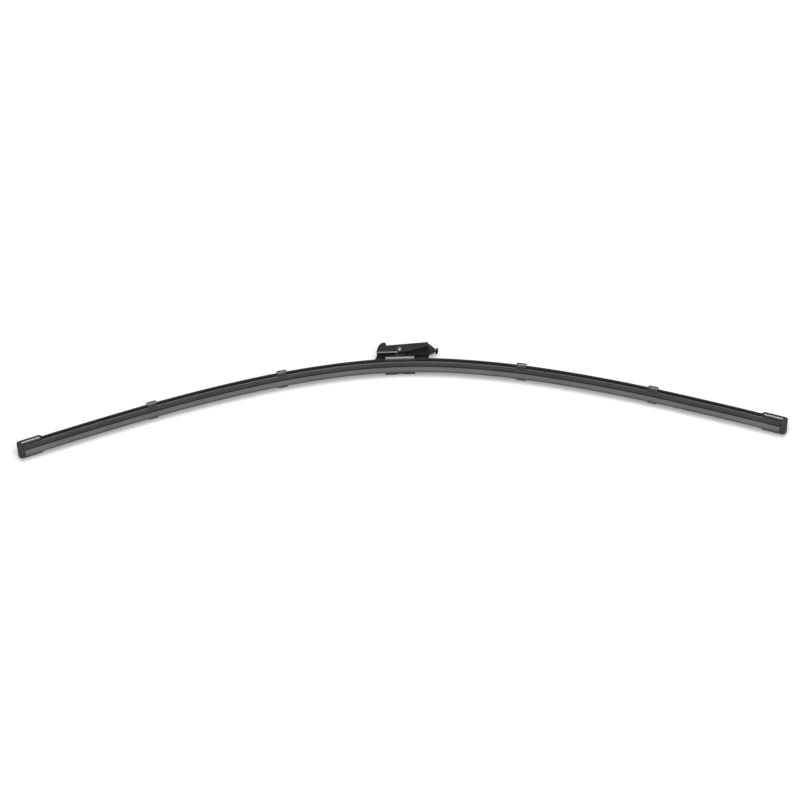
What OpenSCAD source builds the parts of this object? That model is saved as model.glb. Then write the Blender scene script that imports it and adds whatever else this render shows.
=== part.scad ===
// Flat wiper blade, lying on its side, all sizes in millimetres.
// X runs along the blade, Y from the wiping lip to the connector, Z up.
// The origin is the middle of the base bracket's lower side face.

/* [Blade] */
// Length of the blade, measured along the wiping lip
blade_len = 650; // [520:10:740]
// Radius of the lip line in the middle stretch
mid_r = 335; // [300:5:420]
// Radius of the lip line in the second stretch
second_r = 560; // [480:10:700]
// Radius of the lip line in the third stretch
third_r = 950; // [800:10:1200]
// Radius of the lip line in the outer stretch
outer_r = 2600; // [2000:50:3600]
// Length of half of the middle stretch
mid_run = 50; // [40:1:60]
// Length of the second stretch
second_run = 75; // [60:1:80]
// Length of the third stretch
third_run = 90; // [70:1:95]

/* [Spring rails] */
// Thickness of one spring rail
rail_t = 1; // [0.8:0.05:1.3]
// Width of one spring rail
rail_w = 6; // [5:0.1:7]
// Gap between the two rails, which the rubber's web fills
rail_gap = 2; // [1.6:0.1:2.6]

/* [Rubber strip] */
// Depth of the rubber from the rails' underside to the lip's tip
rubber_h = 9; // [8:0.1:11]
// Thickness of the lip at its tip
lip_w = 0.7; // [0.5:0.05:1]
// Width of the wiping wedge at its shoulder
wedge_w = 4.2; // [3.6:0.1:5]
// Height of the wiping wedge
wedge_h = 4.3; // [3.8:0.1:4.8]
// Height of the lip's parallel tip
lip_h = 1.1; // [0.6:0.1:1.6]
// Height of the wedge's square shoulder
shoulder_h = 0.45; // [0.3:0.05:0.7]
// Width of the hinge neck between wedge and body
neck_w = 1.2; // [0.8:0.05:1.6]
// Height of the hinge neck
neck_h = 1.05; // [0.6:0.05:1.2]
// Width of the rubber's body
body_w = 6.1; // [5:0.1:6.4]
// Width of the flange that lies against the rails
flange_w = 8.2; // [7:0.1:9]
// Height of that flange
flange_h = 0.7; // [0.5:0.05:1]
// Width of the head that lies over the rails
head_w = 4.6; // [3.6:0.1:5.4]
// Height of that head
head_h = 0.8; // [0.6:0.05:1]

/* [Rail clips] */
// Length of a clip along the blade
clip_len = 8.6; // [7:0.1:12]
// Wall of a clip outside the rails
clip_wall = 1.15; // [0.9:0.05:1.5]
// Thickness of a clip's jaws under the rails
clip_jaw_t = 1.4; // [0.9:0.05:1.8]
// Thickness of a clip over the rails
clip_roof_t = 1.45; // [1.3:0.05:2.2]
// Place of the inner clips along the lip, from the middle
inner_clip_s = 99; // [80:1:110]
// Place of the outer clips along the lip, from the middle
outer_clip_s = 210; // [180:1:230]
// How far all four clips sit towards the nose's side
clip_shift = 1.1; // [0:0.1:2]

/* [End caps] */
// Length of an end cap along the blade
cap_len = 22; // [18:0.5:30]
// Wall of an end cap outside the rails
cap_wall = 1.2; // [1:0.05:1.6]
// Thickness of an end cap's jaws under the rails
cap_jaw_t = 1.9; // [1.2:0.05:2.4]
// Thickness of an end cap over the rails
cap_roof_t = 1.6; // [1.5:0.05:2.6]
// Thickness of the cap's end wall
cap_end_t = 4.2; // [3:0.1:6]
// Width of the end wall beside the lip
cap_toe_w = 3.4; // [2.6:0.1:4.2]

/* [Base bracket] */
// Length of the base bracket along the blade
bracket_len = 25.2; // [22:0.2:30]
// Wall of the bracket outside the rails
bracket_wall = 1.95; // [1.7:0.05:2.4]
// Thickness of the bracket's jaws under the rails
bracket_jaw_t = 1.1; // [0.9:0.05:1.4]
// Thickness of the bracket over the rails
bracket_roof_t = 1.6; // [1.5:0.05:2]
// Thickness of one cheek that carries the pivot
cheek_t = 1.1; // [0.9:0.05:1.5]
// Radius of the cheek's round top about the pivot
cheek_r = 4.2; // [3.6:0.1:4.4]

/* [Pivot] */
// Height of the pivot over the rails' top
pivot_h = 11.7; // [11:0.1:14]
// Diameter of the rivet's shank
rivet_d = 3.2; // [2.8:0.1:3.6]
// Diameter of the rivet's heads
rivet_head_d = 4.1; // [3.9:0.1:5]
// Height of the rivet's heads
rivet_head_h = 0.8; // [0.4:0.05:1]
// Outer diameter of the spacer bush on the rivet
bush_d = 5; // [4.6:0.1:5.6]
// How far the connector rocks each way, in degrees
rock = 8; // [4:0.5:9]

/* [Connector] */
// Width of the connector over its side walls
cover_w = 14; // [13.4:0.1:15]
// Thickness of the cover's side walls
cover_wall = 1; // [0.9:0.05:1.3]
// Thickness of the cover's deck and hood
deck_t = 1.3; // [1:0.05:1.6]
// Height of the deck over the pivot at its hood end
deck_low = 5.6; // [5.2:0.1:6.2]
// Height of the deck over the pivot at its nose end
deck_high = 8.5; // [7.6:0.1:9]
// Distance from the pivot to the step at the foot of the hood
step_x = 11; // [9:0.1:12]
// Distance from the pivot to the cover's nose end
cover_end_x = 24.4; // [22:0.1:26]
// Radius of the hood's round back
hood_r = 22; // [20:0.5:26]
// Distance from the pivot to the hood's back
hood_back_x = 19.4; // [18:0.1:20]
// Height of the hood's tip over the pivot
hood_h = 9.5; // [8.8:0.1:10]
// Depth of the cover's side walls below the pivot
skirt_h = 3.4; // [2.8:0.1:3.8]
// Width of the two feet under the connector
foot_w = 6.8; // [5:0.1:8]
// Radius of the nose where it leaves the connector
nose_r = 5.3; // [4:0.1:5.4]
// Radius of the nose's small end
nose_end_r = 2.1; // [1.7:0.05:2.4]
// Length of the nose
nose_len = 5.3; // [4.4:0.1:6.5]
// How far the nose points down from the blade's line, in degrees
nose_tilt = 15; // [6:1:17]
// Diameter of the stud's round head
stud_d = 5.5; // [4.8:0.1:6]
// Thickness of the stud's head
stud_t = 2.1; // [1.4:0.1:2.4]
// Diameter of the stud's neck
neck_d = 2.6; // [2:0.1:3]
// Length of the stud's neck
neck_gap = 1; // [0.8:0.05:1.5]

/* [Fits] */
// Room round the rails and the rubber in clips, caps and bracket
slip = 0.08; // [0.05:0.01:0.1]
// Running clearance on the radius at the pivot
run_gap = 0.05; // [0.03:0.01:0.09]
// Room between moving faces that slide past each other
side_gap = 0.1; // [0.08:0.01:0.2]
// Least room between the connector and the bracket when it is rocked
rock_gap = 0.3; // [0.2:0.05:0.5]
// Room between the connector's body and the cover around it
shell_gap = 0.15; // [0.1:0.01:0.25]
// Room round the rivet in the cheeks
rivet_gap = 0.02; // [0.01:0.01:0.04]

/* [Hidden] */

round_fn = 64;
arc_fn = 1080;
big = 60;
sliver = 0.01;
lap = 1;
hair = 0.03;

// Heights over the lip's tip at the middle of the blade
rail_low = rubber_h;
rail_top = rail_low + rail_t;
head_top = rail_top + head_h;
pivot_y = rail_top + pivot_h;
rails_half = rail_gap / 2 + rail_w;

// The bracket is the widest piece, and its lower side face carries the blade
bracket_half = rails_half + bracket_wall;
bracket_low = rail_low - slip - bracket_jaw_t;
bracket_top = rail_top + bracket_roof_t;
side_mid = (bracket_low + bracket_top) / 2;

// The lip's line is four arcs on each side of the middle, each with a length and a radius
deg = 180 / PI;
outer_run = blade_len / 2 - mid_run - second_run - third_run;
runs = [mid_run, second_run, third_run, outer_run];
radii = [mid_r, second_r, third_r, outer_r];

// Drop of the rubber's head below its middle height, at a distance x from the middle
function head_drop(x) = (mid_r + head_top) - sqrt(pow(mid_r + head_top, 2) - x * x);

// Rails and rubber stop short of the end wall inside the cap
strip_end = blade_len / 2 - cap_end_t - 3 * slip;

// Moves a shape from the middle of the blade to its place over the origin
module in_frame() {
    translate([0, -side_mid, bracket_half]) children();
}

// Moves a shape by a distance s along an arc of radius r that starts straight ahead
module along_arc(r, s) {
    translate([0, -r, 0]) rotate([0, 0, -s / r * deg]) translate([0, r, 0]) children();
}

// Moves a shape from the middle to the end of the first n arcs
module past_arcs(n, i = 0) {
    if (i < n) along_arc(radii[i], runs[i]) past_arcs(n, i + 1) children();
    else children();
}

// Moves a shape from the middle to a distance s along the lip
module along_lip(s, i = 0) {
    if (i == len(runs) - 1 || s <= runs[i]) along_arc(radii[i], s) children();
    else along_arc(radii[i], runs[i]) along_lip(s - runs[i], i + 1) children();
}

// Carries a section, drawn as height over the lip against width, from back to s along an arc
module arc_sweep(r, s, back = 0) {
    translate([0, -r, 0]) rotate([0, 0, 90])
        rotate_extrude(angle = -(s + back) / r * deg, start = back / r * deg, $fn = arc_fn)
            translate([r, 0]) children();
}

// Carries a section along the whole blade, up to a distance from its middle.
// Each arc starts inside the one before it, and every second arc is a hair thinner all round,
// so no two faces coincide where arcs join, and the strip is one solid.
module blade_sweep(reach) {
    last = len(runs) - 1;
    $inset = 0;
    arc_sweep(mid_r, mid_run, mid_run) children();
    for (side = [0, 1], i = [1:last]) mirror([side, 0, 0]) {
        $inset = i % 2 * hair;
        run = i < last ? runs[i] : reach - blade_len / 2 + outer_run;
        past_arcs(i) arc_sweep(radii[i], run, lap) children();
    }
}

// Stands a straight piece square to the blade at a distance s along the lip
module at_station(s, side) {
    mirror([side < 0 ? 1 : 0, 0, 0]) along_lip(s) children();
}

// Extrudes a section, drawn as height against width, along X about its middle
module along_x(len) {
    rotate([90, 0, 90]) linear_extrude(len, center = true) children();
}

// Extrudes a plan, drawn as length against width, upwards from a height
module along_y(low, high) {
    translate([0, high, 0]) rotate([90, 0, 0]) linear_extrude(high - low) children();
}

// A rectangle from corner to corner with round corners
module round_rect(low, high, r) {
    translate([low[0] + r, low[1]]) square([high[0] - low[0] - 2 * r, high[1] - low[1]]);
    translate([low[0], low[1] + r]) square([high[0] - low[0], high[1] - low[1] - 2 * r]);
    for (x = [low[0] + r, high[0] - r], y = [low[1] + r, high[1] - r])
        translate([x, y]) circle(r, $fn = round_fn);
}

// A rectangle of a height range, as wide as w about the middle
module band(low, high, w) {
    translate([low, -w / 2]) square([high - low, w]);
}

// The room that rails, rubber head and rubber flange take inside a clamping piece
module strip_room(throat_w) {
    band(rail_low - slip, rail_top + slip, 2 * (rails_half + slip));
    band(rail_low, head_top + slip, head_w + 2 * slip);
    band(-1, rail_low, throat_w);
}

// A piece that wraps the rails: rounded section and rounded plan, with the strip's room cut out
module clamp_section(low, top, half, r, throat_w) {
    difference() {
        round_rect([low, -half], [top, half], r);
        strip_room(throat_w);
    }
}

// One half of the rubber's section, as height and half width from the tip to the head
module rubber_half() {
    tip = lip_w / 2 - $inset;
    wedge = wedge_w / 2 - $inset;
    neck = neck_w / 2 - $inset;
    body = body_w / 2 - $inset;
    flange = flange_w / 2 - $inset;
    web = rail_gap / 2 - slip - $inset;
    head = head_w / 2 - $inset;
    wedge_top = wedge_h - $inset;
    body_low = wedge_h + neck_h + $inset;
    flange_low = rail_low - flange_h + $inset;
    flange_top = rail_low - $inset;
    head_low = rail_top + $inset;
    head_high = head_top - $inset;
    polygon([[$inset, 0], [$inset, tip], [lip_h, tip], [wedge_h - shoulder_h, wedge], [wedge_top, wedge],
             [wedge_top, neck], [body_low, neck], [body_low, body], [flange_low, body],
             [flange_low, flange], [flange_top, flange], [flange_top, web], [head_low, web],
             [head_low, head], [head_high, head], [head_high, 0]]);
}

module rubber_section() {
    rubber_half();
    mirror([0, 1]) rubber_half();
}

module wiper_rubber() {
    color("#4d4d4d") in_frame() blade_sweep(strip_end) rubber_section();
}

module spring_rail(side) {
    color("#1c1c1c") in_frame()
        blade_sweep(strip_end)
            translate([rail_low + $inset, (side > 0 ? rail_gap / 2 : -rails_half) + $inset])
                square([rail_t - 2 * $inset, rail_w - 2 * $inset]);
}

module rail_clip(s, side) {
    half = rails_half + clip_wall;
    low = rail_low - slip - clip_jaw_t;
    top = rail_top + clip_roof_t;
    edge_r = 0.8;
    corner_r = 1.2;
    color("#3a3a3a") in_frame() at_station(s + side * clip_shift, side) intersection() {
        along_x(clip_len) clamp_section(low, top, half, edge_r, flange_w + 2 * slip);
        along_y(low - 1, top + 1)
            round_rect([-clip_len / 2, -half], [clip_len / 2, half], corner_r);
    }
}

// The end wall's outline: as wide as the cap at the rails, narrow beside the lip
module end_wall_outline(low, half) {
    toe = cap_toe_w / 2;
    toe_y = 0.6;
    flare = [0.8, 0.5];
    top = low + cap_jaw_t + rail_t;
    for (side = [0, 1]) mirror([0, side])
        polygon([[toe_y, -sliver], [toe_y, toe], [toe_y + flare[0], toe + flare[1]],
                 [low + cap_jaw_t / 2, half], [top, half], [top, -sliver]]);
}

module end_cap(side) {
    half = rails_half + cap_wall;
    low = rail_low - slip - cap_jaw_t;
    top = rail_top + cap_roof_t;
    edge_r = 1.6;
    corner_r = 1.8;
    bevel = 2.4;
    // Two shallow moulding pockets in the end wall's inner side
    pocket = [2.2, 1.8, 1.4];
    pocket_y = 3.6;
    pocket_z = 1.7;
    throat = flange_w + 1;
    middle = cap_len / 2;
    color("#303030") in_frame() at_station(blade_len / 2 - middle, side) intersection() {
        union() {
            difference() {
                along_x(cap_len) round_rect([low, -half], [top, half], edge_r);
                translate([-cap_end_t, 0, 0]) along_x(cap_len) strip_room(throat);
            }
            difference() {
                translate([middle - cap_end_t / 2, 0, 0])
                    along_x(cap_end_t) end_wall_outline(low, half - sliver);
                for (z = [-1, 1]) translate([middle - cap_end_t, pocket_y, z * pocket_z])
                    cube(pocket, center = true);
            }
        }
        // Bevelled corners, seen from above and then from the side
        along_y(-1, top + 1) polygon([
            [-middle, half - bevel / 2], [-middle + bevel, half], [middle - corner_r, half],
            [middle, half - corner_r], [middle, -half + corner_r], [middle - corner_r, -half],
            [-middle + bevel, -half], [-middle, -half + bevel / 2]]);
        linear_extrude(4 * half, center = true) polygon([
            [-middle, 0], [middle - corner_r, 0], [middle, corner_r], [middle, top - corner_r],
            [middle - corner_r, top], [-middle + bevel, top], [-middle, top - bevel / 2]]);
    }
}

// One cheek's outline about the pivot, from its round top down to the bracket
module cheek_outline() {
    circle(cheek_r, $fn = round_fn);
    translate([-cheek_r, -(pivot_y - bracket_top) - sliver])
        square([2 * cheek_r, pivot_y - bracket_top + sliver]);
}

// Outer half width over the cheeks, just inside the cover's side walls
cheek_half = cover_w / 2 - cover_wall - side_gap;

module base_bracket() {
    edge_r = 0.8;
    corner_r = 0.9;
    // Crimp dimples near one end of the jaws, and a notch in the lower jaw's edge
    dimple_r = 0.55;
    dimple_x = bracket_len / 2 - 1.3;
    dimple_z = bracket_half - 1.9;
    notch = [5.6, 1.2, 1.1];
    notch_x = 0.6;
    color("#454545") in_frame() {
        difference() {
            intersection() {
                along_x(bracket_len)
                    round_rect([bracket_low, -bracket_half], [bracket_top, bracket_half], edge_r);
                along_y(bracket_low - 1, bracket_top + 1)
                    round_rect([-bracket_len / 2, -bracket_half],
                               [bracket_len / 2, bracket_half], corner_r);
            }
            arc_sweep(mid_r, mid_run, mid_run) strip_room(flange_w + 2);
            for (side = [-1, 1]) translate([dimple_x, bracket_low, side * dimple_z])
                rotate([90, 0, 0]) cylinder(bracket_jaw_t, r = dimple_r, center = true, $fn = round_fn);
            translate([notch_x, bracket_low, -bracket_half]) cube(notch, center = true);
        }
        translate([0, pivot_y, 0]) difference() {
            for (side = [0, 1]) mirror([0, 0, side])
                translate([0, 0, cheek_half - cheek_t]) linear_extrude(cheek_t) cheek_outline();
            cylinder(big, r = rivet_d / 2 + rivet_gap, center = true, $fn = round_fn);
        }
    }
}

module pivot_rivet() {
    // The peened heads stand just outside the cover, each with a dimple
    seat = cover_w / 2 + side_gap;
    dimple_h = rivet_head_h / 2;
    rim = 0.3;
    color("#b4b4b4") in_frame() translate([0, pivot_y, 0]) {
        cylinder(2 * seat, r = rivet_d / 2, center = true, $fn = round_fn);
        for (side = [0, 1]) mirror([0, 0, side]) translate([0, 0, seat]) difference() {
            cylinder(rivet_head_h, r1 = rivet_head_d / 2, r2 = rivet_head_d / 2 - rim, $fn = round_fn);
            translate([0, 0, rivet_head_h - dimple_h])
                cylinder(rivet_head_h, r1 = rim, r2 = rivet_d / 2, $fn = round_fn);
        }
    }
}

module pivot_bush() {
    half = cheek_half - cheek_t;
    color("#8c8c8c") in_frame() translate([0, pivot_y, 0]) difference() {
        cylinder(2 * half, r = bush_d / 2, center = true, $fn = round_fn);
        cylinder(big, r = rivet_d / 2 + run_gap, center = true, $fn = round_fn);
    }
}

// Points of the connector's side view, measured from the pivot
hood_cx = hood_r - hood_back_x;
// The seam steps down near the pivot and climbs to the nose from seam_low_x on
seam_step_x = [-1.5, 1];
seam_drop = 0.5;
seam_low_x = 4;
seam_end_y = 3.1;
// The hood's front leans back towards its tip
hood_lean = 0.7;
// Bevel at the hood's top, along and down its back
hood_bevel = [5.1, 3.5];
deck_slope = (deck_high - deck_low) / (cover_end_x + step_x);
function deck_y(x) = deck_low + deck_slope * (x + step_x);

// The connector's feet clear bracket and rubber at the end of the rocking travel
foot_x = 13.2;
left_foot_x = hood_back_x + 1.5;
right_foot_x = cover_end_x + 0.4;
over_bracket = bracket_top - pivot_y + rock_gap + foot_x * sin(rock);
over_rubber = head_top - head_drop(right_foot_x) - pivot_y + rock_gap + right_foot_x * sin(rock);
foot_low = max(over_bracket, over_rubber) / cos(rock);
block_low = foot_low + 2;
block_x = 7;
foot_root = 1.5;

// Outline of the cover as seen from the side
module cover_side() {
    intersection() {
        polygon([[-hood_back_x, -skirt_h], [seam_step_x[0], -skirt_h],
                 [seam_step_x[1], -skirt_h - seam_drop], [seam_low_x, -skirt_h - seam_drop],
                 [cover_end_x, seam_end_y], [cover_end_x, deck_y(cover_end_x)],
                 [-step_x, deck_y(-step_x)], [-step_x - hood_lean, hood_h],
                 [-hood_back_x + hood_bevel[0], hood_h], [-hood_back_x, hood_h - hood_bevel[1]]]);
        union() {
            translate([hood_cx, -skirt_h]) circle(hood_r, $fn = 4 * round_fn);
            translate([hood_cx, -big / 2]) square([big, big]);
        }
    }
}

// The room inside the cover, open downwards and at the nose end
module cover_room() {
    intersection() {
        polygon([[-hood_back_x - 1, -big / 2], [big, -big / 2], [big, deck_y(big) - deck_t],
                 [-step_x - deck_t, deck_y(-step_x - deck_t) - deck_t],
                 [-hood_back_x - 1, deck_y(-step_x - deck_t) - deck_t]]);
        union() {
            translate([hood_cx, -skirt_h]) circle(hood_r - deck_t, $fn = 4 * round_fn);
            translate([hood_cx, -big / 2]) square([big, big]);
            translate([-hood_back_x + deck_t, -big / 2]) square([big, big / 2 - skirt_h]);
        }
    }
}

module connector_cover() {
    half = cover_w / 2;
    color("#3c3c3c") in_frame() translate([0, pivot_y, 0]) difference() {
        union() {
            difference() {
                linear_extrude(cover_w, center = true) cover_side();
                linear_extrude(cover_w - 2 * cover_wall, center = true) cover_room();
            }
            // The narrow foot goes on from the hood's back
            linear_extrude(foot_w, center = true) polygon([
                [-left_foot_x, foot_low], [-foot_x, foot_low], [-foot_x, -skirt_h + foot_root],
                [-hood_back_x + deck_t / 2, -skirt_h + foot_root],
                [-hood_back_x + sliver, -skirt_h]]);
        }
        cylinder(4 * half, r = rivet_d / 2 + run_gap, center = true, $fn = round_fn);
    }
}

// Shallow wedge-shaped pocket in the body's side, between a rim below the seam and a sill,
// open at the nose end
module side_pocket() {
    rim = 2.5;
    sill = 3.2;
    polygon([[foot_x, block_low + sill], [right_foot_x, seam_end_y - rim],
             [right_foot_x, block_low + sill]]);
}

module connector_body() {
    inner = cover_w / 2 - cover_wall;
    block_half = inner - shell_gap;
    pocket_h = 0.6;
    tongue_root = 1;
    tongue_half = cheek_half - cheek_t - rock_gap;
    tongue = [-3, 3.6];
    saddle_r = 4;
    roof_gap = deck_t + shell_gap;
    base_x = cover_end_x + shell_gap;
    hollow_wall = 1.2;
    hollow_top = [-1.6, 0];
    color("#262626") in_frame() translate([0, pivot_y, 0]) difference() {
        union() {
            cylinder(2 * tongue_half, r = saddle_r, center = true, $fn = round_fn);
            linear_extrude(2 * tongue_half, center = true)
                translate([0, tongue[0]]) square([block_x + tongue_root, tongue[1] - tongue[0]]);
            linear_extrude(2 * block_half, center = true) polygon([
                [block_x, foot_low], [foot_x, foot_low], [foot_x, block_low], [base_x, block_low],
                [base_x, deck_y(base_x) - roof_gap], [block_x, deck_y(block_x) - roof_gap]]);
            linear_extrude(foot_w, center = true) polygon([
                [foot_x, foot_low], [right_foot_x, foot_low], [base_x, block_low + foot_root],
                [foot_x, block_low + foot_root]]);
            nose(base_x);
        }
        cylinder(big, r = bush_d / 2 + run_gap, center = true, $fn = round_fn);
        for (side = [0, 1]) mirror([0, 0, side])
            translate([0, 0, block_half - pocket_h]) linear_extrude(big) side_pocket();
        // Hollow underside of the block
        linear_extrude(2 * (block_half - hollow_wall), center = true) polygon([
            [block_x + hollow_wall, foot_low - 1], [foot_x - hollow_wall, foot_low - 1],
            [foot_x - hollow_wall, hollow_top[1]], [block_x + hollow_wall, hollow_top[0]]]);
    }
}

// The tapered nose with its stud, cut level with the deck
module nose(base_x) {
    axis_drop = 2.5;
    root = 1.2;
    intersection() {
        translate([base_x, deck_y(base_x) - axis_drop, 0]) rotate([0, 90, -nose_tilt]) {
            translate([0, 0, -root]) cylinder(root + sliver, r = nose_r, $fn = round_fn);
            cylinder(nose_len, r1 = nose_r, r2 = nose_end_r, $fn = round_fn);
            cylinder(nose_len + neck_gap + stud_t / 2, r = neck_d / 2, $fn = round_fn);
            translate([0, 0, nose_len + neck_gap]) stud_head();
        }
        translate([base_x, -big / 2, -big / 2]) cube([big, big / 2 + deck_y(base_x), big]);
    }
}

// A round head with a domed outer face
module stud_head() {
    r = stud_d / 2;
    dome_r = 1.6 * r;
    intersection() {
        cylinder(stud_t, r = r, $fn = round_fn);
        translate([0, 0, stud_t - dome_r]) sphere(dome_r, $fn = 2 * round_fn);
    }
}

wiper_rubber();
spring_rail(1);  // spring_rail_upper
spring_rail(-1);  // spring_rail_lower
rail_clip(outer_clip_s, -1);  // rail_clip_1
rail_clip(inner_clip_s, -1);  // rail_clip_2
rail_clip(inner_clip_s, 1);  // rail_clip_3
rail_clip(outer_clip_s, 1);  // rail_clip_4
end_cap(-1);  // end_cap_left
end_cap(1);  // end_cap_right
base_bracket();
pivot_rivet();
pivot_bush();
connector_body();
connector_cover();
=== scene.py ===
# %% [markdown]
# # A flat wiper blade
# This lesson dresses the CAD model of one flat windscreen wiper blade. The blade lies on its side:
# X runs along it, Y from the wiping lip to the connector, and Z up through its width.
# The CAD model gives the sizes, and each piece here is a finer skin over one of its solids.

import bpy
import numpy as np
from mathutils import Matrix


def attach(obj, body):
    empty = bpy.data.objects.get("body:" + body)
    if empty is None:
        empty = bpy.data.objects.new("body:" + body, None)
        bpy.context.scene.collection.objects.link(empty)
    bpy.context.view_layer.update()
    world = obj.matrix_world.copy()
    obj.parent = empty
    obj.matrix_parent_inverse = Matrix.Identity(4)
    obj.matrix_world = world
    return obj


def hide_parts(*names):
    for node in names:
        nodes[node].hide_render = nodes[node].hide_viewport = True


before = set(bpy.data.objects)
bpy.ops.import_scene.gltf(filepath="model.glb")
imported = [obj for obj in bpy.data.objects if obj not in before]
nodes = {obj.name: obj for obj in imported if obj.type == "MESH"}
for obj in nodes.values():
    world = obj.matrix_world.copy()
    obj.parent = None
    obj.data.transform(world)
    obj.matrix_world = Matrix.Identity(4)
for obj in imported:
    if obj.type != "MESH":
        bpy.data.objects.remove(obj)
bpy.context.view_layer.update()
MM = 0.001

# %% [markdown]
# ## The camera
# The photograph looks down at the blade from about 41 degrees, from far away, with a long lens.
# The picture is also turned a little, so the camera has a roll. The three axes of the camera are
# worked out from these angles and put into its matrix, which is surer than aiming it by eye.

# %% Camera
CAMERA_AZIMUTH, CAMERA_ELEVATION, CAMERA_ROLL = np.radians([0.02, 41.1, -1.82])
CAMERA_DISTANCE = 2200 * MM
CAMERA_TARGET = np.array([-0.98, -45.09, 8.95]) * MM
FOCAL_PIXELS, IMAGE_WIDTH, SENSOR_WIDTH = 2659.0, 800, 36.0


def camera_axes(azimuth, elevation, roll):
    """Right, up and backward axes: backward points from the object to the camera, right is level,
    up is square to both, and right and up are then turned about backward by the roll."""
    back = np.array([np.sin(azimuth) * np.cos(elevation), -np.cos(azimuth) * np.cos(elevation),
                     np.sin(elevation)])
    level = np.array([np.cos(azimuth), np.sin(azimuth), 0.0])
    upright = np.cross(back, level)
    right = np.cos(roll) * level + np.sin(roll) * upright
    return right, np.cross(back, right), back


right, up, back = camera_axes(CAMERA_AZIMUTH, CAMERA_ELEVATION, CAMERA_ROLL)
eye = CAMERA_TARGET + back * CAMERA_DISTANCE
camera_data = bpy.data.cameras.new("camera")
camera_data.sensor_width = SENSOR_WIDTH
camera_data.lens = FOCAL_PIXELS * SENSOR_WIDTH / IMAGE_WIDTH
camera_data.clip_start, camera_data.clip_end = 0.1, 30
camera = bpy.data.objects.new("camera", camera_data)
rows = np.column_stack([right, up, back, eye]).tolist()
camera.matrix_world = Matrix(rows + [[0, 0, 0, 1]])
bpy.context.scene.collection.objects.link(camera)
bpy.context.scene.camera = camera
print("lens", round(camera_data.lens, 1), "mm, eye at", eye.round(3))

# %% [markdown]
# ## Colours and nodes
# A colour is written as the eye reads it, in sRGB hex, and Blender's shaders want linear values, so
# one function turns the first into the second. Another adds one shader node with its settings and
# links, which keeps each material down to a few lines.


# %% Helpers for colours and nodes
def linear(hex_colour):
    """Linear RGBA from sRGB hex: low values are divided by 12.92, the others raised to 2.4."""
    c = np.array([int(hex_colour[k : k + 2], 16) for k in (1, 3, 5)]) / 255
    low = c <= 0.04045
    return (*np.where(low, c / 12.92, ((c + 0.055) / 1.055) ** 2.4), 1.0)


def add(tree, kind, links=None, **settings):
    """Adds one node. Settings are its own attributes, links give each socket a value or a socket."""
    node = tree.nodes.new(kind)
    for name, value in settings.items():
        setattr(node, name, value)
    for socket, value in (links or {}).items():
        if isinstance(value, bpy.types.NodeSocket):
            tree.links.new(value, node.inputs[socket])
        else:
            node.inputs[socket].default_value = value
    return node


def new_material(name):
    """A material with empty nodes, its output and a Principled shader already linked."""
    material = bpy.data.materials.new(name)
    material.use_nodes = True
    tree = material.node_tree
    tree.nodes.clear()
    shader = add(tree, "ShaderNodeBsdfPrincipled")
    add(tree, "ShaderNodeOutputMaterial", {"Surface": shader.outputs["BSDF"]})
    return material, tree, shader


print("white is", linear("#ffffff"), "and mid grey is", np.round(linear("#808080"), 3))

# %% [markdown]
# ## Floor and light
# The blade lies on a pale table under one wide softbox, which hangs over it and in front of it. The
# light is kept at a plain level, so colours render about as they are written. The camera and mirror
# reflections see the table lifted to white by a glow, faint near the blade and stronger away from
# it. Diffuse light doesn't see that glow, so the soft shadow stays and the blade gets no extra light.

# %% Floor, backdrop and lamps
FLOOR_SIZE = 4.0
FLOOR_DROP = 0.02 * MM
FLOOR_SEEN, FLOOR_PLAIN = linear("#f4f4f4"), linear("#8c8c8c")
# The glow near the blade, the middle and half axes of the ellipse where it starts to grow, and how
# many times larger the ellipse is where it is full
FLOOR_GLOW, GLOW_MIDDLE, GLOW_REACH = 0.17, (0.0, -0.04, 0.0), (0.38, 0.12, 1.0)
GLOW_FULL = 1.8
WORLD_LIGHT = 0.24
LAMP_SIZE = (1.0, 0.9)
LAMP_PLACE, LAMP_LEAN = (0.05, -0.8, 1.15), np.radians(35)
LAMP_POWER = 22.0


def seen_directly(tree):
    """1 for rays of the camera, of mirror reflections and of glass, and 0 for diffuse light."""
    path = add(tree, "ShaderNodeLightPath")
    both = add(tree, "ShaderNodeMath", {0: path.outputs["Is Camera Ray"],
                                        1: path.outputs["Is Glossy Ray"]}, operation="MAXIMUM")
    return add(tree, "ShaderNodeMath", {0: both.outputs[0],
                                        1: path.outputs["Is Transmission Ray"]},
               operation="MAXIMUM").outputs[0]


floor_mesh = bpy.data.meshes.new("floor")
corners = np.array([[-1, -1], [1, -1], [1, 1], [-1, 1]]) * FLOOR_SIZE
floor_mesh.from_pydata([(x, y, -FLOOR_DROP) for x, y in corners], [], [(0, 1, 2, 3)])
floor = bpy.data.objects.new("floor", floor_mesh)
bpy.context.scene.collection.objects.link(floor)
floor_material = bpy.data.materials.new("white_table")
floor_material.use_nodes = True
tree = floor_material.node_tree
tree.nodes.clear()
seen = seen_directly(tree)
colour = add(tree, "ShaderNodeMix", {0: seen, 6: FLOOR_PLAIN, 7: FLOOR_SEEN}, data_type="RGBA")
diffuse = add(tree, "ShaderNodeBsdfDiffuse", {"Color": colour.outputs[2]})
place = add(tree, "ShaderNodeTexCoord").outputs["Object"]
offset = add(tree, "ShaderNodeVectorMath", {0: place, 1: GLOW_MIDDLE}, operation="SUBTRACT")
scaled = add(tree, "ShaderNodeVectorMath", {0: offset.outputs[0], 1: GLOW_REACH},
             operation="DIVIDE")
away = add(tree, "ShaderNodeVectorMath", {0: scaled.outputs[0]}, operation="LENGTH")
rise = add(tree, "ShaderNodeMapRange", {"Value": away.outputs["Value"], "From Min": 1.0,
                                        "From Max": GLOW_FULL, "To Min": FLOOR_GLOW,
                                        "To Max": 1.0})
strength = add(tree, "ShaderNodeMath", {0: seen, 1: rise.outputs[0]}, operation="MULTIPLY")
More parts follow.
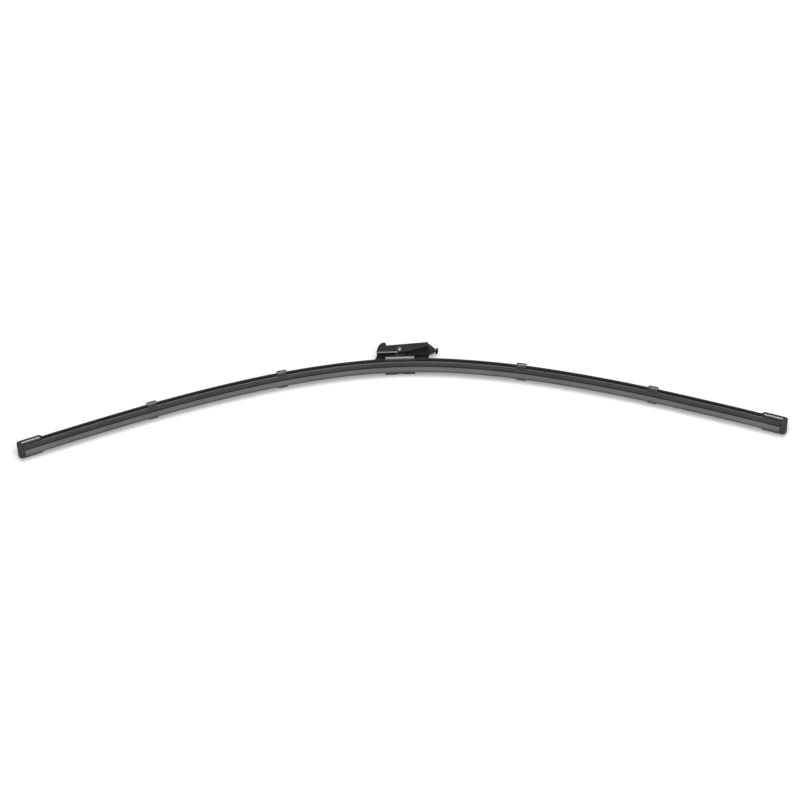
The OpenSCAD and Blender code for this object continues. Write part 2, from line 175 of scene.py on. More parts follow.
glow = add(tree, "ShaderNodeEmission", {"Strength": strength.outputs[0]})
both = add(tree, "ShaderNodeAddShader", {0: diffuse.outputs[0], 1: glow.outputs[0]})
add(tree, "ShaderNodeOutputMaterial", {"Surface": both.outputs[0]})
floor_mesh.materials.append(floor_material)

world = bpy.data.worlds.new("studio")
bpy.context.scene.world = world
world.use_nodes = True
tree = world.node_tree
tree.nodes.clear()
camera_ray = add(tree, "ShaderNodeLightPath").outputs["Is Camera Ray"]
grey = add(tree, "ShaderNodeBackground", {"Color": (1, 1, 1, 1), "Strength": WORLD_LIGHT})
white = add(tree, "ShaderNodeBackground", {"Color": (1, 1, 1, 1), "Strength": 1.0})
mixed = add(tree, "ShaderNodeMixShader", {0: camera_ray, 1: grey.outputs[0], 2: white.outputs[0]})
add(tree, "ShaderNodeOutputWorld", {"Surface": mixed.outputs[0]})

lamp_data = bpy.data.lights.new("softbox", "AREA")
lamp_data.shape = "RECTANGLE"
lamp_data.size, lamp_data.size_y = LAMP_SIZE
lamp_data.energy = LAMP_POWER
lamp = bpy.data.objects.new("softbox", lamp_data)
lamp.location = LAMP_PLACE
lamp.rotation_euler = (LAMP_LEAN, 0, 0)
bpy.context.scene.collection.objects.link(lamp)
bpy.context.scene.view_settings.view_transform = "Standard"
print("softbox", LAMP_SIZE, "m at", LAMP_PLACE, "with", LAMP_POWER, "W")

# %% [markdown]
# ## The curve of the blade
# A blade that no glass presses is bent. Its lip follows four arcs on each side of the middle, tight
# in the middle and nearly straight at the ends. Every long piece is a section carried along this
# line, so one function gives the line's place and heading at any distance along it.

# %% The lip's line
ARC_LENGTHS = np.array([50.0, 75.0, 90.0, 110.0])
ARC_RADII = np.array([335.0, 560.0, 950.0, 2600.0])
HALF_LENGTH = ARC_LENGTHS.sum()
SIDE_MID, HALF_WIDTH = 9.71, 8.95


def lip_line(s):
    """Place x, y and heading of the lip at signed distances s. Each arc adds its chord, from the
    sines and cosines of the heading before and after it, and the left side mirrors the right."""
    reach = np.abs(s)
    begin = np.concatenate([[0], np.cumsum(ARC_LENGTHS)[:-1]])
    most = np.append(ARC_LENGTHS[:-1], np.inf)
    run = np.clip(reach[..., None] - begin, 0, most)
    turn = np.cumsum(run / ARC_RADII, -1)
    before = turn - run / ARC_RADII
    x = (ARC_RADII * (np.sin(turn) - np.sin(before))).sum(-1)
    y = -(ARC_RADII * (np.cos(before) - np.cos(turn))).sum(-1)
    side = np.where(s < 0, -1, 1)
    return side * x, y, -side * turn[..., -1]


def at_lip(s, ahead, height, width):
    """Frame points from local ones: ahead along the lip's heading at s, height square to it, and
    width across the blade. Heading h turns ahead to (cos h, sin h) and height to (-sin h, cos h)."""
    x, y, h = lip_line(np.asarray(s, float))
    return np.stack([x + ahead * np.cos(h) - height * np.sin(h),
                     y + ahead * np.sin(h) + height * np.cos(h) - SIDE_MID,
                     width + HALF_WIDTH + 0 * x], -1)


print("lip's end at", at_lip(HALF_LENGTH, 0, 0, 0).round(2), "mm")

# %% [markdown]
# ## From rings of points to a closed mesh
# Most pieces are rings of points, one after the other: sections along a path, or circles round an
# axis. The skin joins each ring to the next with quads and closes both ends. The sign of its volume
# tells whether the faces point outwards, and turns them all if they don't.


# %% Helpers for shapes
def rounded(corners, cuts, steps=4):
    """Rounds the corners of closed outlines. Each corner C becomes a parabola arc from A to B, the
    points at its cut distance on both sides: (1-t)^2 A + 2t(1-t) C + t^2 B, with t from 0 to 1."""
    corners = np.asarray(corners, float)
    cuts = np.broadcast_to(cuts, corners.shape[:-1])[..., None]
    before = np.roll(corners, 1, -2) - corners
    after = np.roll(corners, -1, -2) - corners
    a = corners + before / np.linalg.norm(before, axis=-1, keepdims=True) * cuts
    b = corners + after / np.linalg.norm(after, axis=-1, keepdims=True) * cuts
    t = np.linspace(0, 1, steps + 1)[:, None]
    a, b, c = a[..., None, :], b[..., None, :], corners[..., None, :]
    arcs = (1 - t) ** 2 * a + 2 * t * (1 - t) * c + t**2 * b
    return arcs.reshape(*corners.shape[:-2], -1, 2)


def skin(rings, slot=0, slots=None):
    """Closed skin over rings of points (rings, points, xyz): its points, faces, UVs in metres along
    and around, and each face's material slot, given once or for each point of a ring."""
    m, n = rings.shape[:2]
    i, j = np.meshgrid(np.arange(m - 1), np.arange(n), indexing="ij")
    k = (j + 1) % n
    quads = np.stack([i * n + j, (i + 1) * n + j, (i + 1) * n + k, i * n + k], -1).reshape(-1, 4)
    step = np.linalg.norm(np.diff(rings, axis=0), axis=-1).mean(-1)
    along = np.concatenate([[0], np.cumsum(step)]) * MM
    edge = np.linalg.norm(np.roll(rings, -1, 1) - rings, axis=-1).mean(0)
    around = np.concatenate([[0], np.cumsum(edge)]) * MM
    uv = np.stack([np.stack([along[i], along[i + 1], along[i + 1], along[i]], -1),
                   np.stack([around[j], around[j], around[j + 1], around[j + 1]], -1)],
                  -1).reshape(-1, 4, 2)
    points = rings.reshape(-1, 3)
    first, last = np.arange(n)[::-1], np.arange((m - 1) * n, m * n)
    fans = [np.stack([np.full(n - 2, f[0]), f[1:-1], f[2:]], -1) for f in (first, last)]
    tris = np.concatenate([quads[:, :3], quads[:, [0, 2, 3]], *fans])
    a, b, c = (points[tris[:, k]] for k in range(3))
    if (a * np.cross(b, c)).sum() < 0:
        quads, uv, first, last = quads[:, ::-1], uv[:, ::-1], first[::-1], last[::-1]
    end_uv = np.stack([points[first][:, 1], points[first][:, 2]], -1) * MM
    face_slots = np.full((m - 1, n), slot) if slots is None else np.broadcast_to(slots, (m - 1, n))
    return (points, quads.tolist() + [first.tolist(), last.tolist()],
            np.concatenate([uv.reshape(-1, 2), end_uv, end_uv]),
            np.append(face_slots.ravel(), [slot, slot]))


def build(name, skins, materials, body, slot, *replaced, sharp=32):
    """One object from several closed skins. Edges sharper than the given angle in degrees stay sharp
    and the rest is shaded smooth. It rides on a body and stands for the CAD nodes it replaces."""
    starts = np.cumsum([0] + [len(s[0]) for s in skins])
    mesh = bpy.data.meshes.new(name)
    faces = [[v + start for v in face] for s, start in zip(skins, starts) for face in s[1]]
    mesh.from_pydata((np.concatenate([s[0] for s in skins]) * MM).tolist(), [], faces)
    mesh.uv_layers.new(name="surface")
    mesh.uv_layers["surface"].data.foreach_set("uv", np.concatenate([s[2] for s in skins]).ravel())
    for material in materials:
        mesh.materials.append(material)
    face_slots = np.concatenate([s[3] for s in skins]).astype(np.int32)
    mesh.polygons.foreach_set("material_index", face_slots)
    mesh.polygons.foreach_set("use_smooth", np.ones(len(mesh.polygons), bool))
    mesh.set_sharp_from_angle(angle=np.radians(sharp))
    mesh.validate()
    mesh.update()
    piece = bpy.data.objects.new(name, mesh)
    bpy.context.scene.collection.objects.link(piece)
    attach(piece, body)
    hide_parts(*replaced)
    print(name, len(mesh.vertices), "points,", len(mesh.polygons), "faces")
    return piece


# %% [markdown]
# ## Materials
# A wiper blade is all dark grey and black, so the pieces differ by their sheen rather than by
# colour. The strip is extruded rubber with graphite rubbed into its wiping edge, and the rails are
# black coated spring steel. Caps, clips and connector are moulded, the bracket is painted steel, and
# the rivet is bare steel.


# %% Extruded rubber
def extruded_rubber(name, colour, roughness, line_mm, line_depth_mm):
    """Rubber pushed through a die: fine lines run along it, and the sheen varies in soft patches.
    The lines are a noise that changes fast around the section and slowly along it."""
    material, tree, shader = new_material(name)
    surface = add(tree, "ShaderNodeUVMap", uv_map="surface").outputs["UV"]
    stretched = add(tree, "ShaderNodeMapping", {"Vector": surface,
                                                "Scale": (12, 1 / (line_mm * MM), 1)})
    lines = add(tree, "ShaderNodeTexNoise", {"Vector": stretched.outputs[0], "Scale": 1.0,
                                            "Detail": 3.0})
    place = add(tree, "ShaderNodeTexCoord").outputs["Object"]
    patches = add(tree, "ShaderNodeTexNoise", {"Vector": place, "Scale": 45.0, "Detail": 4.0})
    tint = add(tree, "ShaderNodeMapRange", {"Value": patches.outputs["Fac"], "From Min": 0.3,
                                            "From Max": 0.7, "To Min": 0.85, "To Max": 1.15})
    shade = add(tree, "ShaderNodeVectorMath", {0: linear(colour)[:3], "Scale": tint.outputs[0]},
                operation="SCALE")
    tree.links.new(shade.outputs[0], shader.inputs["Base Color"])
    gloss = add(tree, "ShaderNodeMapRange", {"Value": lines.outputs["Fac"],
                                             "To Min": roughness - 0.07, "To Max": roughness + 0.07})
    tree.links.new(gloss.outputs[0], shader.inputs["Roughness"])
    bump = add(tree, "ShaderNodeBump", {"Height": lines.outputs["Fac"], "Strength": 0.6,
                                        "Distance": line_depth_mm * MM})
    tree.links.new(bump.outputs[0], shader.inputs["Normal"])
    shader.inputs["IOR"].default_value = 1.5
    return material


# Natural rubber compound, satin from the die, with lines of about a third of a millimetre
strip_rubber = extruded_rubber("extruded_rubber", "#383838", 0.42, 0.35, 0.015)
# The same rubber with graphite rubbed in, which is greyer and has a soft metallic sheen
graphite_edge = extruded_rubber("graphite_rubber", "#4b4b4b", 0.5, 0.3, 0.015)
print("made", strip_rubber.name, "and", graphite_edge.name)


# %% Moulded plastic and coated steel
def grained(name, colour, roughness, grain_mm, grain_depth_mm, ior=1.5, coat=0.0):
    """A grained surface: a fine noise for the grain or orange peel, and a coarse one that varies
    shade and sheen as handling and dust do."""
    material, tree, shader = new_material(name)
    place = add(tree, "ShaderNodeTexCoord").outputs["Object"]
    grain = add(tree, "ShaderNodeTexNoise", {"Vector": place, "Scale": 1 / (grain_mm * MM),
                                             "Detail": 2.0, "Roughness": 0.6})
    patches = add(tree, "ShaderNodeTexNoise", {"Vector": place, "Scale": 90.0, "Detail": 5.0})
    tint = add(tree, "ShaderNodeMapRange", {"Value": patches.outputs["Fac"], "From Min": 0.3,
                                            "From Max": 0.7, "To Min": 0.85, "To Max": 1.2})
    shade = add(tree, "ShaderNodeVectorMath", {0: linear(colour)[:3], "Scale": tint.outputs[0]},
                operation="SCALE")
    tree.links.new(shade.outputs[0], shader.inputs["Base Color"])
    gloss = add(tree, "ShaderNodeMapRange", {"Value": patches.outputs["Fac"],
                                             "To Min": roughness - 0.06, "To Max": roughness + 0.06})
    tree.links.new(gloss.outputs[0], shader.inputs["Roughness"])
    bump = add(tree, "ShaderNodeBump", {"Height": grain.outputs["Fac"], "Strength": 0.7,
                                        "Distance": grain_depth_mm * MM})
    tree.links.new(bump.outputs[0], shader.inputs["Normal"])
    shader.inputs["IOR"].default_value = ior
    shader.inputs["Coat Weight"].default_value = coat
    return material


# Black polyamide with a fine spark-eroded grain of about a quarter of a millimetre
moulded_plastic = grained("black_polyamide", "#242424", 0.32, 0.25, 0.008, coat=0.7)
# The same polyamide where the mould is eroded rough
matt_plastic = grained("rough_black_polyamide", "#2c2c2c", 0.75, 0.25, 0.02, ior=1.4)
# Acetal for the clips, slightly waxy, so it spreads the lamp's light. Its dark grey is partly its own
# colour and partly painted sheen: it is lighter than the caps' black to stand for the lamp's light on
# the clips' tops
clip_acetal_with_painted_sheen = grained("grey_acetal_with_painted_sheen", "#323232", 0.4, 0.25, 0.008, coat=0.3)
# Acetal for the connector, a little smoother, since it slides on the rivet
connector_plastic = grained("black_acetal", "#2a2a2a", 0.34, 0.3, 0.01)
# A duller black for the connector's inner part and the cover's left foot. It is made deeper than the
# acetal's own colour, as painted shade for the recesses under the cover
body_acetal_with_painted_shade = grained("acetal_darkened_as_painted_shade", "#161616", 0.5, 0.3, 0.01, ior=1.35)
# Steel pressing with black electrophoretic paint, which has a slight orange peel
painted_steel = grained("black_painted_steel", "#1c1c1c", 0.32, 0.6, 0.01, ior=1.55, coat=0.4)
# Spring steel strip with a thin black coat, smooth and rather glossy
coated_spring_steel = grained("black_coated_spring_steel", "#0d0d0d", 0.3, 0.5, 0.006, ior=1.5)
print("made", [m.name for m in (moulded_plastic, matt_plastic, clip_acetal_with_painted_sheen, connector_plastic,
                                body_acetal_with_painted_shade, painted_steel, coated_spring_steel)])


# %% Bare steel
def bare_steel(name, colour, roughness, mark_mm):
    """Turned and peened steel: a metal whose sheen is broken by fine marks."""
    material, tree, shader = new_material(name)
    place = add(tree, "ShaderNodeTexCoord").outputs["Object"]
    marks = add(tree, "ShaderNodeTexNoise", {"Vector": place, "Scale": 1 / (mark_mm * MM),
                                             "Detail": 3.0})
    gloss = add(tree, "ShaderNodeMapRange", {"Value": marks.outputs["Fac"],
                                             "To Min": roughness - 0.1, "To Max": roughness + 0.1})
    tree.links.new(gloss.outputs[0], shader.inputs["Roughness"])
    shade = add(tree, "ShaderNodeMapRange", {"Value": marks.outputs["Fac"], "To Min": 0.8,
                                             "To Max": 1.1})
    scaled = add(tree, "ShaderNodeVectorMath", {0: linear(colour)[:3], "Scale": shade.outputs[0]},
                 operation="SCALE")
    tree.links.new(scaled.outputs[0], shader.inputs["Base Color"])
    bump = add(tree, "ShaderNodeBump", {"Height": marks.outputs["Fac"], "Strength": 0.4,
                                        "Distance": 0.02 * MM})
    tree.links.new(bump.outputs[0], shader.inputs["Normal"])
    shader.inputs["Metallic"].default_value = 1.0
    return material


rivet_steel = bare_steel("peened_steel", "#cccccc", 0.42, 0.4)
print("made", rivet_steel.name)

# %% [markdown]
# ## The rubber strip
# The strip is one extrusion: a head over the rails, a thin web between them, a flange and a body
# under them, a thin hinge neck, and the wiping wedge, which tilts on the neck when the blade turns
# back. Its section is drawn once, corner by corner, rounded, and carried along the lip's line.

# %% Rubber strip
# The strip ends before the end wall of the cap's solid, with a small gap
END_WALL, END_GAP = 4.2, 0.24
STRIP_END = HALF_LENGTH - END_WALL - END_GAP
STRIP_STATIONS = np.linspace(-STRIP_END, STRIP_END, 331)
# The wedge, with its graphite, reaches up to this height over the lip
WEDGE_TOP = 4.31
# Height over the lip, half width, and rounding of each corner of one half of the section
RUBBER_HALF = np.array([
    [0.0, 0.35, 0.12], [1.1, 0.36, 0.25], [3.85, 2.1, 0.12], [4.3, 2.1, 0.1], [4.32, 0.6, 0.15],
    [5.33, 0.6, 0.15], [5.35, 3.05, 0.18], [7.0, 3.05, 0.1], [7.08, 2.85, 0.06], [7.3, 2.85, 0.06],
    [7.38, 3.05, 0.1], [8.3, 3.05, 0.12], [8.3, 3.5, 0.1], [8.8, 4.1, 0.12], [8.97, 4.1, 0.08],
    [8.97, 0.88, 0.05], [10.04, 0.88, 0.05], [10.04, 2.27, 0.12], [10.77, 2.2, 0.25]])
right_side = RUBBER_HALF[:, :2]
left_side = (right_side * [1, -1])[::-1]
section = rounded(np.concatenate([right_side, left_side]),
                  np.concatenate([RUBBER_HALF[:, 2], RUBBER_HALF[::-1, 2]]))
rings = at_lip(STRIP_STATIONS[:, None], 0, section[:, 0], section[:, 1])
on_wedge = np.where(section[:, 0] < WEDGE_TOP, 1, 0)
build("rubber_strip", [skin(rings, slots=on_wedge)], [strip_rubber, graphite_edge], "blade",
      "strip_rubber", "wiper_rubber")

# %% [markdown]
# ## The spring rails
# Two flat strips of spring steel lie in the rubber's side grooves and press the strip on the glass.
# They are rolled, so their edges are round. Each is a small rounded rectangle on the same line.

# %% Spring rails
RAIL_LOW, RAIL_TOP, RAILS_HALF = 9.0, 10.0, 7.0
RAIL_GAP_HALF, RAIL_EDGE = 1.0, 0.3
for name, side in (("upper", 1), ("lower", -1)):
    corners = np.array([[RAIL_LOW, RAIL_GAP_HALF], [RAIL_LOW, RAILS_HALF], [RAIL_TOP, RAILS_HALF],
                        [RAIL_TOP, RAIL_GAP_HALF]]) * [1, side]
    section = rounded(corners, RAIL_EDGE, 5)
    rings = at_lip(STRIP_STATIONS[:, None], 0, section[:, 0], section[:, 1])
    build(f"rail_{name}", [skin(rings)], [coated_spring_steel], "blade", "rail_steel",
          f"spring_rail_{name}")

# %% [markdown]
# ## Pieces that wrap the rails
# Clips, end caps and the base bracket all have a C-shaped section: a roof over the rails, a wall
# beside each, and two jaws that hook under them. The section is carried straight ahead for the
# piece's length. Near its ends the outer corners are pulled in, which rounds the ends in plan and
# from the side without any other tool.

# %% The C-shaped section
ROOM_HALF, ROOM_LOW, ROOM_TOP = 7.08, 8.92, 10.08
HEAD_ROOM_HALF, HEAD_ROOM_TOP = 2.38, 10.88


def c_section(low, top, half, throat, edge, bevel, plain_edge=0.4):
    """Corners of a C-shaped section as (height, width), each with its rounding and its pull: how far
    its height and width move when the outside is pulled in by one. The throat is half the opening
    between the jaws. The upper jaw starts at the first rise, and its lower edge is bevelled through
    the given corners, as (rise, inset) from the outside. The lower jaw has a plain round edge."""
    upper = [[low + bevel[0][0], throat, 0.12, 1, 0],
             *([low + rise, half - inset, 0.3, 1, -1] for rise, inset in bevel),
             [top, half, edge, -1, -1]]
    lower = [[low, throat, 0.12, 1, 0], [low, half, plain_edge, 1, -1], [top, half, edge, -1, -1]]
    inner = [[HEAD_ROOM_TOP, HEAD_ROOM_HALF, 0.1, 0, 0], [ROOM_TOP, HEAD_ROOM_HALF, 0.05, 0, 0],
             [ROOM_TOP, ROOM_HALF, 0.1, 0, 0], [ROOM_LOW, ROOM_HALF, 0.1, 0, 0],
             [ROOM_LOW, throat, 0.1, 0, 0]]
    upper, lower, inner = np.array(upper), np.array(lower), np.array(inner)
    flip = [1, -1, 1, 1, -1]
    return np.concatenate([upper, lower[::-1] * flip, inner[::-1] * flip, inner])


def with_place(outline, places, first):
    """Points in space from flat outlines: each outline gets its own place along the third axis, as
    the first or the last of the three values."""
    column = np.broadcast_to(places[:, None, None], (*outline.shape[:2], 1))
    return np.concatenate([column, outline] if first else [outline, column], -1)


def wrap(section, ahead, pull, sag=0.0, steps=5):
    """Rings of local points (ahead, height, width): the section at each place ahead, with its outer
    corners moved by pull times their direction, and its inner corners lowered by the sag."""
    pull = np.asarray(pull, float).reshape(len(ahead), 2)
    corners = section[None, :, :2] + section[None, :, 3:] * pull[:, None]
    inner = (section[:, 3:] == 0).all(-1)
    corners[..., 0] -= inner * np.broadcast_to(sag, len(ahead))[:, None]
    outline = rounded(corners, section[None, :, 2], steps)
    return with_place(outline, ahead, first=True)


def quarter(distance, radius):
    """How far a quarter circle of that radius has drawn in, at a distance from the piece's end."""
    depth = np.clip(radius - distance, 0, radius)
    return radius - np.sqrt(np.maximum(radius**2 - depth**2, 0))


def dense_ends(length, zone, count, middle=7):
    """Places along a piece, close together near its ends, where the outside curves."""
    near = zone * (1 - np.cos(np.linspace(0, np.pi / 2, count)))
    left = -length / 2 + near
    return np.concatenate([left, np.linspace(left[-1], -left[-1], middle)[1:-1], -left[::-1]])


def stand(local, s, side):
    """Puts local points (ahead, height, width) at distance s right of the middle. Side -1 mirrors
    them to the left."""
    points = at_lip(s, local[..., 0], local[..., 1], local[..., 2])
    return points * [side, 1, 1]


print("quarter circle of 1 mm, at 0, 0.5 and 1 mm:", quarter(np.array([0, 0.5, 1.0]), 1.0).round(3))

# %% [markdown]
# ## Rail clips
# Four small mouldings snap over both rails and keep them against the rubber. They have soft corners
# and a light line along the upper jaw, where a bevel mirrors the lamp.

# %% Rail clips
CLIP_LENGTH, CLIP_HALF, CLIP_LOW, CLIP_TOP = 8.6, 8.15, 7.52, 11.45
CLIP_THROAT, CLIP_EDGE, CLIP_BEVEL = 4.18, 0.8, ((0.5, 1.1), (1.35, 0.95), (2.2, 0))
# Radius of the rounded ends, seen from the side and from above
CLIP_END_SIDE, CLIP_END_PLAN = 0.35, 0.95
CLIP_PLACES = ((208.9, -1), (97.9, -1), (100.1, 1), (211.1, 1))
clip_section = c_section(CLIP_LOW, CLIP_TOP, CLIP_HALF, CLIP_THROAT, CLIP_EDGE, CLIP_BEVEL)
ahead = dense_ends(CLIP_LENGTH, 1.0, 8)
from_end = CLIP_LENGTH / 2 - np.abs(ahead)
drawn = np.stack([quarter(from_end, CLIP_END_SIDE), quarter(from_end, CLIP_END_PLAN)], -1)
clip = wrap(clip_section, ahead, drawn)
for number, (s, side) in enumerate(CLIP_PLACES, 1):
    build(f"clip_{number}", [skin(stand(clip, s, side))], [clip_acetal_with_painted_sheen], "blade",
          "moulded_plastic", f"rail_clip_{number}")

# %% [markdown]
# ## End caps
# A cap closes each end of the rails and keeps the rubber from sliding out. It is a longer wrapping
# piece with a shield-shaped end wall that reaches down to the lip. The wall is a second skin: its
# outline carried ahead, drawn in by a quarter circle at the outer end. It is matt.

# %% End caps
CAP_LENGTH, CAP_HALF, CAP_LOW, CAP_TOP, CAP_WALL = 22.0, 8.2, 7.1, 11.6, 3.7
CAP_THROAT, CAP_EDGE, CAP_BEVEL = 4.6, 1.1, ((0.75, 0.95), (1.0, 0.85), (1.85, 0))
# How far the sleeve's inner end is drawn in, over which length, and the end wall's outer radius
TAPER, TAPER_LENGTH, WALL_ROUND = 1.2, 2.4, 1.7
CAP_PLACE = HALF_LENGTH - CAP_LENGTH / 2
cap_section = c_section(CAP_LOW, CAP_TOP, CAP_HALF, CAP_THROAT, CAP_EDGE, CAP_BEVEL)
inner_end, outer_end = -CAP_LENGTH / 2, CAP_LENGTH / 2
ahead = np.concatenate([inner_end + np.array([0, 0.15, 0.4, 0.8, 1.2, 1.6, 2.0, 2.3, 2.6, 3.2]),
                        np.linspace(inner_end + 4.5, outer_end - CAP_WALL + 0.4, 8)])
drawn = TAPER * np.clip(1 - (ahead - inner_end) / TAPER_LENGTH, 0, 1) ** 1.3
sleeve = wrap(cap_section, ahead, np.stack([drawn * 0.9, drawn], -1))
# Height, half width, rounding and pull of the end wall's corners, on one side
WALL_HALF = np.array([[0.6, 1.7, 0.5, 1, -0.5], [1.5, 2.3, 0.5, 0.8, -0.8],
                      [8.0, CAP_HALF, 1.2, 0.9, -1.6], [CAP_TOP, CAP_HALF, 1.5, -1, -1]])
wall_section = np.concatenate([WALL_HALF, (WALL_HALF * [1, -1, 1, 1, -1])[::-1]])
ahead = outer_end - CAP_WALL * (1 - np.sin(np.linspace(0, np.pi / 2, 14)))
drawn = quarter(outer_end - ahead, WALL_ROUND)
end_wall = wrap(wall_section, ahead, np.stack([drawn, drawn], -1))
for name, side in (("left", -1), ("right", 1)):
    build(f"cap_{name}", [skin(stand(sleeve, CAP_PLACE, side)),
                          skin(stand(end_wall, CAP_PLACE, side), slot=1)],
          [moulded_plastic, matt_plastic], "blade", "moulded_plastic", f"end_cap_{name}")

# %% [markdown]
# ## Base bracket
# The bracket is a steel pressing, crimped round the rails in the middle of the blade. Its upper
# jaw is bent with a wide bevel, which catches the lamp as the brightest line of the blade. Two
# cheeks stand on it and carry the rivet. A notch is worked into the lower jaw by moving the points
# that lie inside it.

# %% Base bracket
BRACKET_LENGTH, BRACKET_LOW, BRACKET_TOP = 25.2, 7.4, 11.6
BRACKET_THROAT, BRACKET_EDGE, BRACKET_BEVEL = 5.1, 0.7, ((0.5, 1.1), (1.0, 1.0), (2.1, 0))
BRACKET_END_SIDE, BRACKET_END_PLAN = 0.3, 0.8
PIVOT = 21.7
NOTCH_LEFT, NOTCH_RIGHT, NOTCH_RISE, NOTCH_INSET, NOTCH_REACH = -2.2, 3.4, 0.5, 0.3, 0.6
bracket_section = c_section(BRACKET_LOW, BRACKET_TOP, HALF_WIDTH, BRACKET_THROAT, BRACKET_EDGE,
                            BRACKET_BEVEL, plain_edge=0.3)
ahead = dense_ends(BRACKET_LENGTH, 0.9, 8, 81)
# Two rings close together stand at each side of the notch, so its sides are steep
notch_sides = [NOTCH_LEFT - 0.02, NOTCH_LEFT, NOTCH_RIGHT, NOTCH_RIGHT + 0.02]
ahead = np.unique(np.concatenate([ahead, notch_sides]))
from_end = BRACKET_LENGTH / 2 - np.abs(ahead)
drawn = np.stack([quarter(from_end, BRACKET_END_SIDE), quarter(from_end, BRACKET_END_PLAN)], -1)
# The bracket is straight outside, and its inside follows the rails, which fall away from it
bracket = wrap(bracket_section, ahead, drawn, sag=ahead**2 / (2 * ARC_RADII[0]))
along, height, width = np.moveaxis(bracket, -1, 0)
in_notch = (along > NOTCH_LEFT - 0.01) & (along < NOTCH_RIGHT + 0.01)
moved = in_notch & (height < BRACKET_LOW + NOTCH_REACH) & (width < -HALF_WIDTH + NOTCH_REACH)
width[moved] = np.maximum(width[moved], -HALF_WIDTH + NOTCH_INSET)
height[moved] = BRACKET_LOW + NOTCH_RISE


def slab(outline, low, high, rim, cut=0.3, steps=3):
    """A plate with round rims: the outline, as (x, y) seen along Z, drawn in near both faces by a
    quarter circle of the rim's radius, and each corner rounded by its cut."""
    outline = np.asarray(outline, float)
    t = np.linspace(0, np.pi / 2, steps + 1)
    rise, depth = rim * (1 - np.cos(t)), rim * (1 - np.sin(t))
    levels = np.concatenate([low + rise, high - rise[::-1]])
    inward = np.concatenate([depth, depth[::-1]])
    after = np.roll(outline, -1, 0)
    edges = after - outline
    area = (outline[:, 0] * after[:, 1] - after[:, 0] * outline[:, 1]).sum()
    normal = np.stack([-edges[:, 1], edges[:, 0]], -1) * np.sign(area)
    normal /= np.linalg.norm(normal, axis=-1, keepdims=True)
    before = np.roll(normal, 1, 0)
    corner = (normal + before) / (1 + (normal * before).sum(-1, keepdims=True))
    rings = outline[None] + corner[None] * inward[:, None, None]
    return with_place(rounded(rings, cut), levels, first=False)


def at_pivot(local):
    """Frame points from points measured from the rivet's axis at the blade's middle."""
    return local + [0, PIVOT - SIDE_MID, HALF_WIDTH]


def plate_pair(outline, low, high, rim, cut):
    """Skins of two equal plates, one on each side of the blade's middle, from low to high."""
    return [skin(at_pivot(slab(outline, *sides, rim, cut))) for sides in ((-high, -low), (low, high))]


CHEEK_RADIUS, CHEEK_LOW, CHEEK_HIGH = 4.2, 4.8, 5.9
# The cheeks' feet run a little into the bracket's roof
CHEEK_FOOT = BRACKET_TOP - PIVOT - 0.3
angles = np.linspace(0, np.pi, 25)
cheek = np.concatenate([np.stack([np.cos(angles), np.sin(angles)], -1) * CHEEK_RADIUS,
                        [[-CHEEK_RADIUS, CHEEK_FOOT], [CHEEK_RADIUS, CHEEK_FOOT]]])
cheek_skins = plate_pair(cheek, CHEEK_LOW, CHEEK_HIGH, 0.2, cut=0.05)
build("bracket", [skin(at_lip(0.0, along, height, width)), *cheek_skins], [painted_steel], "blade",
      "bracket_metal", "base_bracket")

# %% [markdown]
# ## Rivet
# The rivet's ends are peened over the cover: a low round rim with a dimple from the punch. It is a
# profile turned round the rivet's axis, so each ring is a circle at one height.


# %% Rivet
def turned(profile, axis_point, axis, count=72):
    """Rings of a profile (radius, distance along the axis) turned round an axis: each ring is
    centre + radius * (cos a * u + sin a * v), with u and v square to the axis."""
    profile = np.asarray(profile, float)
    axis = np.asarray(axis, float) / np.linalg.norm(axis)
    u = np.cross(axis, [0, 0, 1] if abs(axis[2]) < 0.9 else [0, 1, 0])
    u /= np.linalg.norm(u)
    v = np.cross(axis, u)
    a = np.linspace(0, 2 * np.pi, count, endpoint=False)[:, None]
    circle = np.cos(a) * u + np.sin(a) * v
    return (np.asarray(axis_point, float) + profile[:, None, 1:2] * axis
            + profile[:, None, 0:1] * circle[None])


# Radius and distance from the middle: out to the rim, round it, and in to the dimple's floor
head = np.array([[1.6, 7.1], [2.02, 7.11], [2.05, 7.22], [2.0, 7.45], [1.88, 7.65], [1.68, 7.8],
                 [1.45, 7.88], [1.25, 7.9], [1.05, 7.86], [0.85, 7.76], [0.65, 7.65], [0.4, 7.55],
                 [0.2, 7.51], [0.02, 7.5]])
profile = np.concatenate([(head * [1, -1])[::-1], head])
build("rivet", [skin(at_pivot(turned(profile, (0, 0, 0), (0, 0, 1))))], [rivet_steel], "blade",
      "rivet_steel", "pivot_rivet")

# %% [markdown]
# ## Connector cover
# The cover is a thin moulded hood: a deck, two side walls and a round back. It is a U-shaped
# section carried along X, whose heights follow three lines seen from the side: the outside of the
# deck and hood, the inside of the same wall, and the seam along the lower edge.

# %% Connector cover
COVER_HALF, COVER_INNER, DECK_WALL = 7.0, 6.0, 1.3
COVER_BACK, COVER_END, COVER_ROUND = -19.4, 24.4, 0.4
HOOD_CENTRE, HOOD_RADIUS, HOOD_LEFT, HOOD_TOP = (2.6, -3.4), 22.0, -14.6, 9.5
STEP, STEP_TOP, DECK_LOW, DECK_SLOPE = -11.0, -11.7, 5.6, 2.9 / 35.4
# The seam runs level along the skirt, steps down near the rivet, and rises from there to the nose
SKIRT, SEAM_LOW, SEAM_END = -3.4, -3.9, 3.1
SEAM_STEP, SEAM_DOWN, SEAM_RISE = -1.5, 1.0, 4.0
LEDGE_INSET, LEDGE_RISE, SEAM_THIN = 0.7, 0.85, 0.65
FOLD_DEPTH, FOLD_WIDTH = 0.12, 0.45


def deck_line(x):
    """Height of the deck over the rivet's axis, a straight line that rises towards the nose."""
    return DECK_LOW + DECK_SLOPE * (x - STEP)


